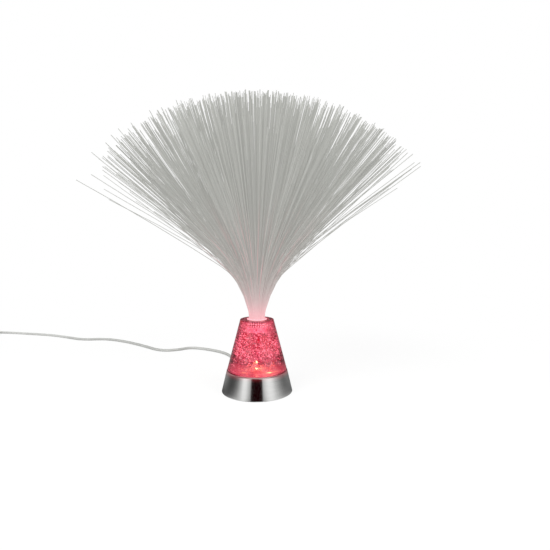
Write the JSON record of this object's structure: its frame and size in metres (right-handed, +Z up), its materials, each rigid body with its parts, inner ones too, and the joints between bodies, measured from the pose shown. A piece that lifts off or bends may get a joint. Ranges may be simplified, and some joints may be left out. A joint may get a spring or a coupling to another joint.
{
  "type": "fiber optic lamp",
  "caption": "Table lamp with a brushed steel foot, a clear bubbled cone lit from inside, and a wide spray of optical fibres that lifts out of its socket.",
  "frame": {"origin": "centre of the base pad's face on the table", "axes": "+Z up along the foot, cone and middle fibre; -Y is the front, with the cord leaving at the rear; +X to the right seen from the front"},
  "size_m": [0.682, 0.476, 0.315],
  "materials": {
    "foot_steel": "brushed round the foot",
    "clear_acrylic": "clear acrylic full of bubbles, lit pink-red",
    "black_plastic": "matte moulded",
    "white_plastic": "matte moulded",
    "pad_foam": "closed-cell foam",
    "screw_steel": "zinc plated",
    "board_green": "solder mask",
    "led_resin": "clear epoxy",
    "button_plastic": "matte moulded",
    "cord_grey": "soft PVC",
    "wire_plastic": "PVC insulation",
    "tie_plastic": "coated wire tie",
    "pin_nickel": "nickel plated",
    "collar_plastic": "translucent white",
    "fibre_plastic": "clear optical fibre, greyish against white"
  },
  "bodies": {
    "root": {"base_pad": "pad_foam", "bottom_cover": "black_plastic", "cover_screws": "screw_steel", "inner_frame": "black_plastic", "foot_ring": "foot_steel", "acrylic_cone": "clear_acrylic", "reflector_plate": "white_plastic", "led_board": "board_green", "board_screws": "screw_steel", "board_components": "black_plastic", "led_1": "led_resin", "led_2": "led_resin", "led_3": "led_resin", "switch_body": "black_plastic", "switch_nut": "screw_steel", "cord_gland": "cord_grey", "supply_wires": "wire_plastic", "switch_wires": "wire_plastic", "cord": "cord_grey", "cord_coil": "cord_grey", "cord_tie": "tie_plastic", "cord_tail": "cord_grey", "adapter_shell": "white_plastic", "adapter_front": "white_plastic", "adapter_pins": "pin_nickel", "adapter_circuit": "board_green", "adapter_relief": "cord_grey"},
    "button": {"switch_button": "button_plastic"},
    "spray": {"fibre_collar": "collar_plastic", "fibre_bundle": "fibre_plastic", "optical_fibres": "fibre_plastic"}
  },
  "joints": [
    {"name": "button_press", "type": "slide", "parent": "root", "child": "button", "axis": [-0.4861, -0.842, -0.2338], "range_m": [0, 0.0015], "stiffness_N_per_m": 600, "springref_m": -0.001},
    {"name": "spray_lift", "type": "slide", "parent": "root", "child": "spray", "axis": [0, 0, 1], "range_m": [0, 0.014]}
  ]
}
